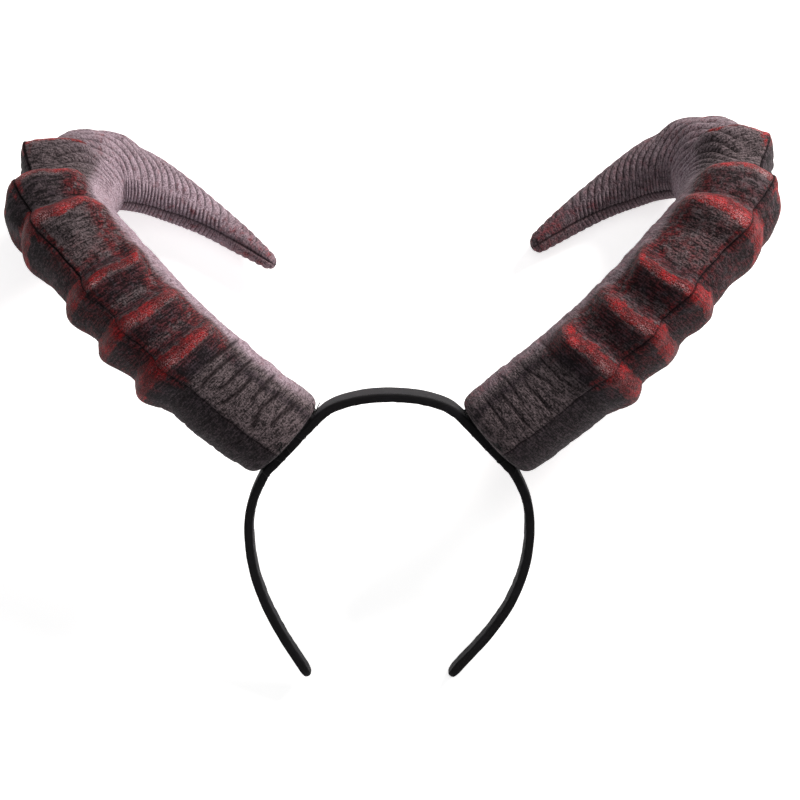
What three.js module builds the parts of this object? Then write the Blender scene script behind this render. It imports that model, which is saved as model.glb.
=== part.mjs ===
// Devil horn headband: two hollow curled foam horns on a cloth-covered hair band.
//
// Millimetres. The pieces are first placed as the headband is worn: X to the wearer's left (the
// viewer's right), Y to the back, Z up, with the middle of the band's bow as the origin. The whole
// group is then laid on its back, as it rests on a table: front side up, crown towards +Y, with the
// origin under the middle of its bounding box.
import * as THREE from "three";
import { ConvexHull } from "three/addons/math/ConvexHull.js";

// Hair band
const bowHalfWidth = 64; // from the middle to the centre of the band's wall
const crownHeight = 61.5; // from the widest line up to the crown
const armDrop = 72; // from the widest line down to the ends
const bandWall = 4.4; // plastic core with its cloth cover
const crownWidth = 15; // band width at the crown, front to back
const endWidth = 8; // band width at its ends
const bandStep = 6.5; // length of one facet along the band
const bandCorner = 1.1; // rounding of the band's long edges
const endRound = 5; // length over which an end is rounded off
const endTip = 0.35; // what is left of its width and thickness at the very end
const crownFlat = 6; // flat facet at the top of the crown

// Horn seats on the band
const seatAngle = 47; // degrees from the crown to the middle of a horn's foot
const seatOut = 0.71; // middle of a seat as a share of bowHalfWidth
const seatUp = 0.618; // and of crownHeight
const seatHalf = 16; // half the straight stretch of band under a foot
const padThickness = 3.2; // felt pad that closes the horn's foot
const padInset = 3; // pad edge inside the horn's outer edge
const gap = 0.3; // between pieces that touch

// Horns
const hornReach = 150; // from the foot to the outside of the curl, along the shank
const hornRise = 40; // from the foot to the tip, across the shank
const hornSweep = 107; // from the foot to the back of the curl
const hornWidth = 45; // shank size across the curl
const hornDepth = 48; // shank size in the curl's plane, from seam to seam
const skin = 3; // formed foam wall
const ridgeHeight = 5.7; // of a full ring ridge over the shank
const seamCrest = 2.0; // how far the outer seam stands over the round section
const crestSpread = 0.36; // radians over which the crest fades
const ridgeRun = 13; // length of a ridge's long slope, towards the foot
const ridgeDrop = 8.5; // length of its short slope, towards the tip
const mostStep = 9; // longest facet along a horn
const leastStep = 0.5; // shortest facet along anything
const ringSlant = 9; // degrees by which the ridges lean from square, lower side towards the tip
const slantStart = 40; // distance from the foot over which that lean comes in
const footLevel = 30; // distance over which the sections turn from the seat's plane to the horn's own
const footRound = 4.5; // radius over which the foot's edge rolls in

const cloth = new THREE.MeshStandardMaterial({ color: 0x17161a, roughness: 0.85, metalness: 0 });
const felt = new THREE.MeshStandardMaterial({ color: 0x0d0d0e, roughness: 0.95, metalness: 0 });
const foam = new THREE.MeshStandardMaterial({ color: 0x3a2a2d, roughness: 0.6, metalness: 0 });

// The horn's centre line, in the foot's frame: reach away from the band, rise towards the crown and
// sweep to the back, as shares of hornReach, hornRise and hornSweep. Width and depth are shares of
// hornWidth and hornDepth, and turn is the angle in degrees of the outer seam from the front.
const hornRows = [
  { reach: 0.000, rise: 0.030, sweep: 0.000, width: 1.00, depth: 0.96, turn: 10 },
  { reach: 0.100, rise: -0.020, sweep: 0.010, width: 1.02, depth: 0.98, turn: 10 },
  { reach: 0.250, rise: -0.080, sweep: 0.050, width: 1.03, depth: 1.00, turn: 10 },
  { reach: 0.437, rise: -0.128, sweep: 0.105, width: 1.02, depth: 1.00, turn: 10 },
  { reach: 0.616, rise: -0.123, sweep: 0.190, width: 1.00, depth: 1.00, turn: 10 },
  { reach: 0.765, rise: -0.110, sweep: 0.286, width: 0.98, depth: 1.00, turn: 9 },
  { reach: 0.883, rise: -0.087, sweep: 0.424, width: 0.95, depth: 1.00, turn: 6 },
  { reach: 0.937, rise: 0.015, sweep: 0.617, width: 0.88, depth: 0.97, turn: -4 },
  { reach: 0.944, rise: 0.190, sweep: 0.785, width: 0.79, depth: 0.92, turn: -14 },
  { reach: 0.900, rise: 0.422, sweep: 0.921, width: 0.69, depth: 0.80, turn: -24 },
  { reach: 0.804, rise: 0.590, sweep: 0.982, width: 0.60, depth: 0.66, turn: -32 },
  { reach: 0.697, rise: 0.700, sweep: 0.998, width: 0.52, depth: 0.53, turn: -34 },
  { reach: 0.575, rise: 0.810, sweep: 0.976, width: 0.39, depth: 0.40, turn: -24 },
  { reach: 0.447, rise: 0.910, sweep: 0.915, width: 0.28, depth: 0.29, turn: -12 },
  { reach: 0.317, rise: 1.005, sweep: 0.834, width: 0.10, depth: 0.13, turn: 2 },
];

// Ring ridges: at is a share of the horn's length, height a share of ridgeHeight, and fold how far
// the outer seam is pinched up on the crest, as a share of seamCrest.
const ridgeRows = [
  { at: 0.186, height: 1.0, fold: 0.6 },
  { at: 0.266, height: 0.9, fold: 0.6 },
  { at: 0.343, height: 1.0, fold: 0.6 },
  { at: 0.462, height: 1.1, fold: 0.8 },
  { at: 0.515, height: 1.1, fold: 1.2 },
  { at: 0.585, height: 1.0, fold: 2.0 },
  { at: 0.65, height: 0.5, fold: 0.3 },
  { at: 0.695, height: 0.6, fold: 0.4 },
];

const outerSides = 12; // facets round the outside of a half shell
const innerSides = 6; // facets round its inside
const padSides = 32; // facets round a foot pad
const bandSearch = 400; // steps in which the band's highest point is looked for

const smooth = (x) => x * x * (3 - 2 * x);
const clamp01 = (x) => Math.min(1, Math.max(0, x));

// A closed solid through rings of points, with its two ends filled flat.
function loft(rings, caps) {
  const sides = rings[0].length;
  const index = [];
  for (let ring = 0; ring < rings.length - 1; ring += 1) {
    for (let side = 0; side < sides; side += 1) {
      const next = (side + 1) % sides;
      const a = ring * sides + side;
      const b = ring * sides + next;
      index.push(a, b, b + sides, a, b + sides, a + sides);
    }
  }
  const last = (rings.length - 1) * sides;
  for (const [p, q, r] of THREE.ShapeUtils.triangulateShape(caps[0], [])) index.push(p, r, q);
  for (const [p, q, r] of THREE.ShapeUtils.triangulateShape(caps[1], [])) {
    index.push(last + p, last + q, last + r);
  }
  const points = rings.flat();
  if (volumeOf(points, index) < 0) {
    for (let i = 0; i < index.length; i += 3) {
      [index[i + 1], index[i + 2]] = [index[i + 2], index[i + 1]];
    }
  }
  const geometry = new THREE.BufferGeometry().setFromPoints(points);
  geometry.setIndex(index);
  geometry.computeVertexNormals();
  return geometry;
}

function volumeOf(points, index) {
  let volume = 0;
  for (let i = 0; i < index.length; i += 3) {
    const [a, b, c] = [points[index[i]], points[index[i + 1]], points[index[i + 2]]];
    volume += a.dot(b.clone().cross(c)) / 6;
  }
  return volume;
}

function named(name, geometry, material) {
  const mesh = new THREE.Mesh(geometry, material);
  mesh.name = name;
  return mesh;
}

// Reads a column of a table at a curve's own parameter, smoothly between rows.
function column(rows, key, t) {
  const place = clamp01(t) * (rows.length - 1);
  const row = Math.min(rows.length - 2, Math.floor(place));
  const share = place - row;
  return THREE.MathUtils.lerp(rows[row][key], rows[row + 1][key], share);
}

// Both horns come from one mould and are set on the band by hand: lean is how many degrees a horn
// stands forward of its table, tilt how many towards the crown, and twist how many it is turned
// about its own shank.
const hornSets = {
  left: { lean: 0, tilt: 0, twist: -1.3 },
  right: { lean: 7.3, tilt: 1.8, twist: 0 },
};

// The centre line of a horn as it is set, in its foot's frame: X to the crown, Y back, Z off the band.
function hornSpine({ lean, tilt, twist }) {
  const set = new THREE.Euler(...[lean, tilt, twist].map(THREE.MathUtils.degToRad));
  const points = hornRows.map((row) =>
    new THREE.Vector3(
      row.rise * hornRise,
      row.sweep * hornSweep,
      row.reach * hornReach,
    ).applyEuler(set),
  );
  const curve = new THREE.CatmullRomCurve3(points);
  curve.arcLengthDivisions = 600;
  return curve;
}

const hornLength = hornSpine(hornSets.left).getLength();

// Distances that include every mark, except one crowded by the mark before it, with even steps no
// longer than most between them.
function stationsThrough(marks, most) {
  const sorted = [...marks].sort((a, b) => a - b);
  const end = sorted[sorted.length - 1];
  const stations = [sorted[0]];
  for (const mark of sorted.slice(1)) {
    const from = stations[stations.length - 1];
    if (mark - from < leastStep && mark < end) continue;
    const steps = Math.ceil((mark - from) / most);
    for (let step = 1; step <= steps; step += 1) stations.push(from + ((mark - from) * step) / steps);
  }
  return stations;
}

// A horn's sections lie on the crests and slopes of its ridges.
function hornStations() {
  const crests = ridgeRows.map((row) => row.at * hornLength);
  const slopes = [-ridgeRun / 2, 0, ridgeDrop / 2, ridgeDrop];
  const marks = crests.flatMap((crest) => slopes.map((slope) => crest + slope));
  const foot = [0, footRound / 8, footRound / 3, footRound];
  return stationsThrough([...foot, ...marks, hornLength], mostStep);
}

// How far the ridges raise the round section at a distance from the foot, in a column of their table.
function ridgeAt(distance, key) {
  let most = 0;
  for (const row of ridgeRows) {
    const past = distance - row.at * hornLength;
    const share = past < 0 ? 1 + past / ridgeRun : 1 - past / ridgeDrop;
    most = Math.max(most, row[key] * smooth(clamp01(share)));
  }
  return most;
}

// The section's frame: out points to the outer seam, over to the upper half, both across the spine.
function frameAt(spine, distance) {
  const t = spine.getUtoTmapping(distance / hornLength);
  const bend = smooth(clamp01(distance / footLevel));
  const along = new THREE.Vector3(0, 0, 1).lerp(spine.getTangent(t), bend).normalize();
  const side = new THREE.Vector3(1, 0, 0).addScaledVector(along, -along.x).normalize();
  const front = side.clone().cross(along);
  const turn = THREE.MathUtils.degToRad(column(hornRows, "turn", t));
  return {
    centre: spine.getPoint(t),
    along,
    out: front.clone().multiplyScalar(Math.cos(turn)).addScaledVector(side, -Math.sin(turn)),
    over: side.clone().multiplyScalar(Math.cos(turn)).addScaledVector(front, Math.sin(turn)),
    halfWidth: (column(hornRows, "width", t) * hornWidth) / 2,
    halfDepth: (column(hornRows, "depth", t) * hornDepth) / 2,
  };
}

// Ring points of one half shell at a distance from the foot, as plane points (out, over).
function halfSection(distance, frame) {
  const points = [];
  const ridge = ridgeHeight * ridgeAt(distance, "height");
  const fold = seamCrest * ridgeAt(distance, "fold");
  const taper = clamp01(frame.halfDepth / (hornDepth / 2));
  const rolled = 1 - clamp01(distance / footRound);
  const turnIn = footRound * (1 - Math.sqrt(1 - rolled * rolled));
  for (let side = 0; side <= outerSides; side += 1) {
    const angle = (Math.PI * side) / outerSides;
    const crest = (seamCrest * taper + fold) * Math.exp(-angle / crestSpread);
    const fade = 1 - smooth(clamp01((angle - 0.9) / 1.1));
    const raise = crest + ridge * fade - turnIn;
    const normal = new THREE.Vector2(
      Math.cos(angle) / frame.halfDepth,
      Math.sin(angle) / frame.halfWidth,
    ).normalize();
    points.push(
      new THREE.Vector2(
        frame.halfDepth * Math.cos(angle) + raise * normal.x,
        gap / 2 + frame.halfWidth * Math.sin(angle) + raise * normal.y,
      ),
    );
  }
  const insideDepth = Math.max(frame.halfDepth - skin - turnIn, 0.35 * frame.halfDepth);
  const insideWidth = Math.max(frame.halfWidth - skin - turnIn, 0.35 * frame.halfWidth);
  for (let side = innerSides; side >= 0; side -= 1) {
    const angle = (Math.PI * side) / innerSides;
    points.push(
      new THREE.Vector2(insideDepth * Math.cos(angle), gap / 2 + insideWidth * Math.sin(angle)),
    );
  }
  return points;
}

// One formed half of a horn, upper (over = 1) or lower (over = -1), in the foot's frame.
function halfShell(spine, over, mirror) {
  const caps = [];
  const rings = hornStations().map((distance) => {
    const frame = frameAt(spine, distance);
    const section = halfSection(distance, frame);
    const slant = Math.tan(THREE.MathUtils.degToRad(ringSlant)) * smooth(clamp01(distance / slantStart));
    caps.push(section);
    return section.map((point) => {
      const place = frame.centre
        .clone()
        .addScaledVector(frame.out, point.x)
        .addScaledVector(frame.over, over * point.y)
        .addScaledVector(frame.along, -over * point.y * slant);
      place.x *= mirror;
      return place;
    });
  });
  return loft(rings, [caps[0], caps[caps.length - 1]]);
}

// Everything of one horn, in a group that stands on the band. Side is -1 on the viewer's left.
function horn(side, label) {
  const group = new THREE.Group();
  group.name = `${label}_horn`;
  const spine = hornSpine(hornSets[label]);
  group.add(named(`${label}_horn_upper_shell`, halfShell(spine, 1, -side), foam));
  group.add(named(`${label}_horn_lower_shell`, halfShell(spine, -1, -side), foam));
  group.add(footPad(spine, side, label));
  const seat = seatPoint(side);
  group.position.copy(seat.point);
  group.rotation.y = side * THREE.MathUtils.degToRad(seatAngle);
  return group;
}

// The pad that closes a horn's foot, standing just inside the foot's edge.
function footPad(spine, side, label) {
  const foot = frameAt(spine, 0);
  const outline = [];
  for (let corner = 0; corner < padSides; corner += 1) {
    const angle = (2 * Math.PI * corner) / padSides;
    outline.push(
      new THREE.Vector2(
        -side * foot.centre.x + (foot.halfWidth - padInset) * Math.cos(angle),
        foot.centre.y + (foot.halfDepth - padInset) * Math.sin(angle),
      ),
    );
  }
  const rings = [-gap - padThickness, -gap].map((level) =>
    outline.map((point) => new THREE.Vector3(point.x, point.y, level)),
  );
  return named(`${label}_foot_pad`, loft(rings, [outline, outline]), felt);
}

// Where a horn's foot sits: the point on the band's outside and the clearances under the foot.
function seatPoint(side) {
  const angle = THREE.MathUtils.degToRad(seatAngle);
  const lift = bandWall / 2 + gap + padThickness + gap;
  const outward = new THREE.Vector3(side * Math.sin(angle), 0, Math.cos(angle));
  const middle = new THREE.Vector3(side * seatOut * bowHalfWidth, 0, seatUp * crownHeight);
  return { point: middle.clone().addScaledVector(outward, lift), middle, outward };
}

// The band's centre line, from the end at the viewer's left over the crown to the other end.
function bandCurve() {
  const points = [];
  for (const side of [-1, 1]) {
    const { middle, outward } = seatPoint(side);
    const along = new THREE.Vector3(outward.z, 0, -outward.x);
    const label = side < 0 ? "left" : "right";
    const arm = armRows.map(
      (row) => new THREE.Vector3(side * row[label] * bowHalfWidth, 0, row.up * armDrop),
    );
    const seat = [-1, -0.7, -0.3, 0, 0.3, 0.7, 1].map((step) =>
      middle.clone().addScaledVector(along, side * step * seatHalf),
    );
    if (side < 0) points.push(...arm, ...seat.reverse(), new THREE.Vector3(0, 0, crownHeight));
    if (side > 0) points.push(...seat, ...arm.reverse());
  }
  return new THREE.CatmullRomCurve3(points, false, "centripetal");
}

// An arm's centre line from its end to the seat: up is a share of armDrop, left and right are how far
// out each arm stands, as shares of bowHalfWidth. The band has sprung open a little unevenly.
const armRows = [
  { up: -1.005, left: 0.59, right: 0.435 },
  { up: -0.93, left: 0.641, right: 0.505 },
  { up: -0.72, left: 0.785, right: 0.712 },
  { up: -0.5, left: 0.906, right: 0.874 },
  { up: -0.25, left: 0.99, right: 0.975 },
  { up: 0.03, left: 1.012, right: 1.004 },
  { up: 0.2, left: 0.97, right: 0.97 },
];

// Distance along the band to its highest point.
function crownDistance(curve) {
  const lengths = curve.getLengths(bandSearch);
  const heights = lengths.map((_, k) => curve.getPoint(k / bandSearch).z);
  return lengths[heights.indexOf(Math.max(...heights))];
}

// Sections of the band: its ends are rounded over endRound and its crown is one flat facet.
function bandStations(curve) {
  const length = curve.getLength();
  const crown = crownDistance(curve);
  const end = [0, endRound / 8, endRound / 3, endRound];
  const flat = [crown - crownFlat / 2, crown + crownFlat / 2];
  return stationsThrough([...end, ...flat, ...end.map((at) => length - at)], bandStep);
}

function hairBand() {
  const curve = bandCurve();
  const length = curve.getLength();
  const caps = [];
  const rings = bandStations(curve).map((distance) => {
    const t = curve.getUtoTmapping(distance / length);
    const centre = curve.getPoint(t);
    const along = curve.getTangent(t);
    const outward = new THREE.Vector3(-along.z, 0, along.x);
    const fromEnd = Math.min(distance, length - distance);
    const past = 1 - clamp01(fromEnd / endRound);
    const round = THREE.MathUtils.lerp(endTip, 1, Math.sqrt(1 - past * past));
    const width = THREE.MathUtils.lerp(endWidth, crownWidth, smooth((2 * fromEnd) / length));
    const w = (width / 2) * round;
    const h = (bandWall / 2) * round;
    const c = bandCorner * round;
    const section = [
      [w - c, -h],
      [w, -h + c],
      [w, h - c],
      [w - c, h],
      [-w + c, h],
      [-w, h - c],
      [-w, -h + c],
      [-w + c, -h],
    ].map(([x, y]) => new THREE.Vector2(x, y));
    caps.push(section);
    return section.map((point) =>
      centre
        .clone()
        .addScaledVector(outward, point.y)
        .add(new THREE.Vector3(0, point.x, 0)),
    );
  });
  return named("hair_band", loft(rings, [caps[0], caps[caps.length - 1]]), cloth);
}

// Turns the worn headband onto its back, so that it rests on the face of its hull under its weight.
function restOnBack(worn) {
  worn.updateMatrixWorld(true);
  const points = [];
  const centroid = new THREE.Vector3();
  let total = 0;
  worn.traverse((mesh) => {
    if (!mesh.isMesh) return;
    const geometry = mesh.geometry.toNonIndexed().applyMatrix4(mesh.matrixWorld);
    const position = geometry.getAttribute("position");
    for (let i = 0; i < position.count; i += 3) {
      const [a, b, c] = [0, 1, 2].map((k) => new THREE.Vector3().fromBufferAttribute(position, i + k));
      const volume = a.dot(b.clone().cross(c)) / 6;
      centroid.addScaledVector(a.clone().add(b).add(c), volume / 4);
      total += volume;
      points.push(a, b, c);
    }
  });
  centroid.divideScalar(total);
  const hull = new ConvexHull().setFromPoints(points);
  let down = new THREE.Vector3(0, 1, 0);
  for (let turn = 0; turn < 50; turn += 1) {
    let nearest = Infinity;
    let face = null;
    for (const candidate of hull.faces) {
      const slope = candidate.normal.dot(down);
      if (slope <= 1e-6) continue;
      const way = (candidate.constant - candidate.normal.dot(centroid)) / slope;
      if (way < nearest) [nearest, face] = [way, candidate];
    }
    if (face.normal.distanceTo(down) < 1e-9) break;
    down = face.normal.clone();
  }
  const up = down.clone().negate();
  const crown = new THREE.Vector3(0, 0, 1).addScaledVector(up, -up.z).normalize();
  const across = crown.clone().cross(up);
  const laid = new THREE.Group();
  laid.add(worn);
  worn.quaternion.setFromRotationMatrix(new THREE.Matrix4().makeBasis(across, crown, up).transpose());
  const box = new THREE.Box3().setFromObject(laid, true);
  const middle = box.getCenter(new THREE.Vector3());
  worn.position.set(-middle.x, -middle.y, -box.min.z);
  return laid;
}

const worn = new THREE.Group();
worn.name = "worn";
worn.add(hairBand(), horn(-1, "left"), horn(1, "right"));
const headband = restOnBack(worn);
headband.name = "devil_horn_headband";

export default headband;
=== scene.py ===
# Devil horn headband, lying on its back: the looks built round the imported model.
#
# Sizes are millimetres in the worn headband's frame: X to the viewer's right, Y to the back, Z up,
# with the middle of the band's bow as the origin. laid_down() turns them into the model's frame.
import math

import bmesh
import bpy
import numpy as np
from mathutils import Euler, Matrix, Vector


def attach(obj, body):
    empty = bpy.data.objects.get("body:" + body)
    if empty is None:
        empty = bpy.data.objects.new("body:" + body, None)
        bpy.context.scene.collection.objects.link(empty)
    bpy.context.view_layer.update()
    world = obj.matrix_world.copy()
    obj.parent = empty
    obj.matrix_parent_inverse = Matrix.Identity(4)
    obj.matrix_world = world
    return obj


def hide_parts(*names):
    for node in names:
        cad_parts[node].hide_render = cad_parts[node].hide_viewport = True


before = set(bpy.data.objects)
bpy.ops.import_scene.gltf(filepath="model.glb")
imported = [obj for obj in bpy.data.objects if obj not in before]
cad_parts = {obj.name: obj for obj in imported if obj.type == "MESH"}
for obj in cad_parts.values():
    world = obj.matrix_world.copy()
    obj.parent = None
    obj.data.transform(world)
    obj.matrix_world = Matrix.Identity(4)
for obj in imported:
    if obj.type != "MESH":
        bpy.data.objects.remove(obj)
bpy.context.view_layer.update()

MM = 0.001

# How the worn headband lies on the floor: turned about X after Z, then moved.
REST_TURN_X = -62.9221
REST_TURN_Z = 4.6787
REST_SHIFT = (2.5919, -69.2652, 37.7305)

# Hair band, as in the solids
BOW_HALF_WIDTH = 64.0
CROWN_HEIGHT = 61.5
ARM_DROP = 72.0
BAND_WALL = 4.4
CROWN_WIDTH = 15.0
END_WIDTH = 8.0
END_ROUND = 5.0
END_TIP = 0.35
BAND_CORNER = 1.3

# Seats of the horns on the band
SEAT_ANGLE = 47.0
SEAT_OUT = 0.71
SEAT_UP = 0.618
SEAT_HALF = 16.0
PAD_THICKNESS = 3.2
PAD_INSET = 7.3
GAP = 0.3
SEAM_GAP = 0.1

# Horns
HORN_REACH = 150.0
HORN_RISE = 40.0
HORN_SWEEP = 107.0
HORN_WIDTH = 45.0
HORN_DEPTH = 48.0
SKIN = 3.0
RIDGE_HEIGHT = 5.7
SEAM_CREST = 2.0
CREST_SPREAD = 0.36
RIDGE_RUN = 13.0
RIDGE_DROP = 8.5
RIDGE_SLANT = 9.0
UNDER_LEAN = 2.6
SLANT_START = 40.0
FOOT_LEVEL = 30.0
FOOT_ROUND = 4.5
FOOT_SINK = 2.5

# reach, rise and sweep are shares of the horn's sizes, width and depth of its section's, and turn
# is the angle in degrees of the outer seam from the front.
HORN_COLUMNS = ("reach", "rise", "sweep", "width", "depth", "turn")
HORN_ROWS = (
    (0.000, 0.030, 0.000, 1.00, 0.96, 10),
    (0.100, -0.020, 0.010, 1.02, 0.98, 10),
    (0.250, -0.080, 0.050, 1.03, 1.00, 10),
    (0.437, -0.128, 0.105, 1.02, 1.00, 10),
    (0.616, -0.123, 0.190, 1.00, 1.00, 10),
    (0.765, -0.110, 0.286, 0.98, 1.00, 9),
    (0.883, -0.087, 0.424, 0.95, 1.00, 6),
    (0.937, 0.015, 0.617, 0.88, 0.97, -4),
    (0.944, 0.190, 0.785, 0.79, 0.92, -14),
    (0.900, 0.422, 0.921, 0.69, 0.80, -24),
    (0.804, 0.590, 0.982, 0.60, 0.66, -32),
    (0.697, 0.700, 0.998, 0.52, 0.53, -34),
    (0.575, 0.810, 0.976, 0.39, 0.40, -24),
    (0.447, 0.910, 0.915, 0.29, 0.31, -12),
    (0.317, 1.005, 0.834, 0.15, 0.19, 2),
)

# The ring ridges. at is a share of the horn's length, height of RIDGE_HEIGHT, and fold of
# SEAM_CREST. lean is how far a ridge runs on towards the tip for each radian round the horn, flick
# how far its inner end turns that way and band the width of its red crest, in millimetres. lip, red
# and dark are how strong its pinched seam, its red and the black beside it are, and under is the
# share of its height on the lower half.
RIDGE_COLUMNS = ("at", "height", "fold", "lean", "flick", "band", "lip", "red", "dark", "under")
RIDGE_ROWS = (
    (0.192, 1.0, 0.6, 0.0, 1.5, 5.2, 0.2, 1.00, 1.0, 0.95),
    (0.266, 0.9, 0.6, 0.0, 2.5, 5.0, 0.3, 0.95, 0.9, 0.78),
    (0.343, 1.0, 0.6, 0.0, 6.0, 3.6, 0.6, 0.95, 1.0, 0.76),
    (0.450, 1.1, 0.8, 0.0, 0.0, 5.4, 1.1, 1.00, 0.3, 0.65),
    (0.504, 1.1, 1.2, 0.0, 0.0, 3.2, 1.3, 0.95, 0.60, 0.90),
    (0.578, 1.0, 2.0, 9.0, 0.0, 3.0, 2.0, 0.75, 0.2, 1.0),
    (0.650, 0.5, 0.3, 6.5, 0.0, 5.0, 0.2, 0.20, 0.0, 1.0),
    (0.695, 0.4, 0.3, 1.0, 0.0, 4.0, 0.0, 0.16, 0.0, 1.5),
)

# Dark pressed creases across the foot end: distance from the foot in millimetres, and the angles
# round the horn in radians between which each shows.
FOOT_CREASES = (
    (8.5, 0.30, 1.05),
    (15.0, 0.05, 0.95),
    (21.0, 0.45, 1.40),
    (27.5, 0.05, 0.80),
    (34.0, 0.25, 1.30),
    (41.5, 0.05, 1.05),
    (47.0, 0.50, 1.50),
)

# The two horns come from one mould and are set on the band by hand: turns are degrees forward, to the
# crown and about the shank. The mauve setting is how strong their mauve is, and it carries painted
# light and shade as well: full on the left horn, whose inner side faces the key light, and weak on the
# right horn, whose inner side is in shade; stained how far up the dark red
# stain runs, as a share of the length, stain how strong it is, creased how deep the foot's creases are, and cut how
# much of the tip was trimmed off, in millimetres.
HORN_SETS = {
    "left": {"turns": (0.0, 0.0, -1.3), "mauve_and_light": 1.0, "stained": 0.38, "stain": 0.42, "creased": 1.0, "under": 1.0, "cut": 0.0},
    "right": {"turns": (7.3, 1.8, 0.0), "mauve_and_light": 0.42, "stained": 0.47, "stain": 0.45, "creased": 0.6, "under": 0.72, "cut": 6.0},
}

# up is a share of ARM_DROP, left and right of BOW_HALF_WIDTH.
ARM_ROWS = (
    (-1.005, 0.59, 0.435),
    (-0.93, 0.641, 0.505),
    (-0.72, 0.785, 0.712),
    (-0.5, 0.906, 0.874),
    (-0.25, 0.99, 0.975),
    (0.03, 1.012, 1.004),
    (0.2, 0.97, 0.97),
)

# Out from the middle and down from the crown in millimetres, between a seat and the crown
ARCH_ROWS = ((27.0, 5.4), (15.5, 1.5))

# The camera is as far above the band's plane, and as far off, as the photograph's.
CAMERA_LIFT = 13.0
CAMERA_REACH = 1300.0
PIXEL = 0.46
VIEW_MIDDLE = (4.6, 57.5)
FRAME_PIXELS = 800
SENSOR = 36.0

REST = Matrix.Rotation(math.radians(REST_TURN_X), 3, "X") @ Matrix.Rotation(
    math.radians(REST_TURN_Z), 3, "Z"
)


def laid_down(points):
    """Worn millimetres to the model's metres, for an array of points."""
    return (np.asarray(points) @ np.array(REST).T + np.array(REST_SHIFT)) * MM


def laid_vector(vector):
    return REST @ Vector(vector)


# ---- small maths


def smooth(x):
    x = np.clip(x, 0.0, 1.0)
    return x * x * (3.0 - 2.0 * x)


def bump_at(x, spread):
    return np.exp(-((x / spread) ** 2))


def hashed(column, row, seed):
    """A fixed number from 0 to 1 for each cell of a lattice."""
    n = (column.astype(np.int64) * 374761393 + row.astype(np.int64) * 668265263 + seed * 982451653)
    n = n & 0x7FFFFFFF
    n = ((n ^ (n >> 13)) * 1274126177) & 0x7FFFFFFF
    return ((n ^ (n >> 16)) & 0xFFFF) / 65535.0


def lumps(x, y, seed):
    """Smooth noise from -1 to 1 with cells one unit wide."""
    column, row = np.floor(x), np.floor(y)
    a, b = smooth(x - column), smooth(y - row)
    low = hashed(column, row, seed) * (1 - a) + hashed(column + 1, row, seed) * a
    high = hashed(column, row + 1, seed) * (1 - a) + hashed(column + 1, row + 1, seed) * a
    return 2.0 * (low * (1 - b) + high * b) - 1.0


def rough(x, y, seed):
    """Three layers of lumps, each half the size of the one before."""
    return sum(lumps(x * 2**k + 7.3 * k, y * 2**k, seed + k) * 0.5**k for k in range(3)) / 1.75


def through(points, steps):
    """A smooth curve through points, as the solids' curves: centripetal Catmull-Rom."""
    points = [np.asarray(p, float) for p in points]
    ends = [2 * points[0] - points[1]] + points + [2 * points[-1] - points[-2]]
    out = []
    for k in range(len(points) - 1):
        p0, p1, p2, p3 = ends[k : k + 4]
        d0, d1, d2 = (np.linalg.norm(q - p) ** 0.5 for p, q in ((p0, p1), (p1, p2), (p2, p3)))
        t1 = ((p1 - p0) / d0 - (p2 - p0) / (d0 + d1) + (p2 - p1) / d1) * d1
        t2 = ((p2 - p1) / d1 - (p3 - p1) / (d1 + d2) + (p3 - p2) / d2) * d1
        t = np.linspace(0, 1, steps, endpoint=False)[:, None]
        out.append(
            p1 + t1 * t + (3 * (p2 - p1) - 2 * t1 - t2) * t**2 + (2 * (p1 - p2) + t1 + t2) * t**3
        )
    return np.concatenate(out + [points[-1][None]])


def unit(vectors):
    return vectors / np.linalg.norm(vectors, axis=-1, keepdims=True)


# ---- mesh helpers


def grid_mesh(name, rows, columns, shape):
    """A grid of rows by columns points. shape(row, column) gives their places in millimetres, the
    map in millimetres and the named values that the materials read."""
    bm = bmesh.new()
    bmesh.ops.create_grid(bm, x_segments=columns - 1, y_segments=rows - 1, size=1.0)
    mesh = bpy.data.meshes.new(name)
    bm.to_mesh(mesh)
    bm.free()
    flat = np.empty(len(mesh.vertices) * 3)
    mesh.vertices.foreach_get("co", flat)
    flat = flat.reshape(-1, 3)
    column = np.rint((flat[:, 0] + 1) / 2 * (columns - 1)).astype(int)
    row = np.rint((flat[:, 1] + 1) / 2 * (rows - 1)).astype(int)
    places, chart, values = shape(row, column)
    mesh.vertices.foreach_set("co", laid_down(places).ravel())
    for key, value in values.items():
        mesh.attributes.new(key, "FLOAT", "POINT").data.foreach_set("value", value)
    corner = np.empty(len(mesh.loops), int)
    mesh.loops.foreach_get("vertex_index", corner)
    mesh.uv_layers.new(name="cloth_map").data.foreach_set("uv", (chart[corner] * MM * 10).ravel())
    return mesh


def closed(mesh):
    """Joins the two long edges of a rolled-up grid and fills its ends."""
    bm = bmesh.new()
    bm.from_mesh(mesh)
    bmesh.ops.remove_doubles(bm, verts=bm.verts, dist=2e-7)
    edge = [e for e in bm.edges if e.is_boundary]
    ends = bmesh.ops.holes_fill(bm, edges=edge, sides=0)["faces"]
    bmesh.ops.triangulate(bm, faces=ends)
    bmesh.ops.recalc_face_normals(bm, faces=bm.faces)
    for face in bm.faces:
        face.smooth = True
    bm.to_mesh(mesh)
    bm.free()
    return mesh


def piece(name, mesh, material, slot, *nodes):
    obj = bpy.data.objects.new(name, mesh)
    bpy.context.scene.collection.objects.link(obj)
    mesh.materials.append(material)
    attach(obj, "root")
    if nodes:
        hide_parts(*nodes)
    return obj


# ---- materials

# Named values on a horn's skin that its material reads. The highlight value is a painted highlight, and the mauve, dark
# and haze values carry painted light and shade besides their paint.
PAINTS = ("red_paint", "dark_paint_and_shade", "mauve_and_painted_light", "haze_and_painted_shade", "painted_highlight", "groove", "grain")


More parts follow.
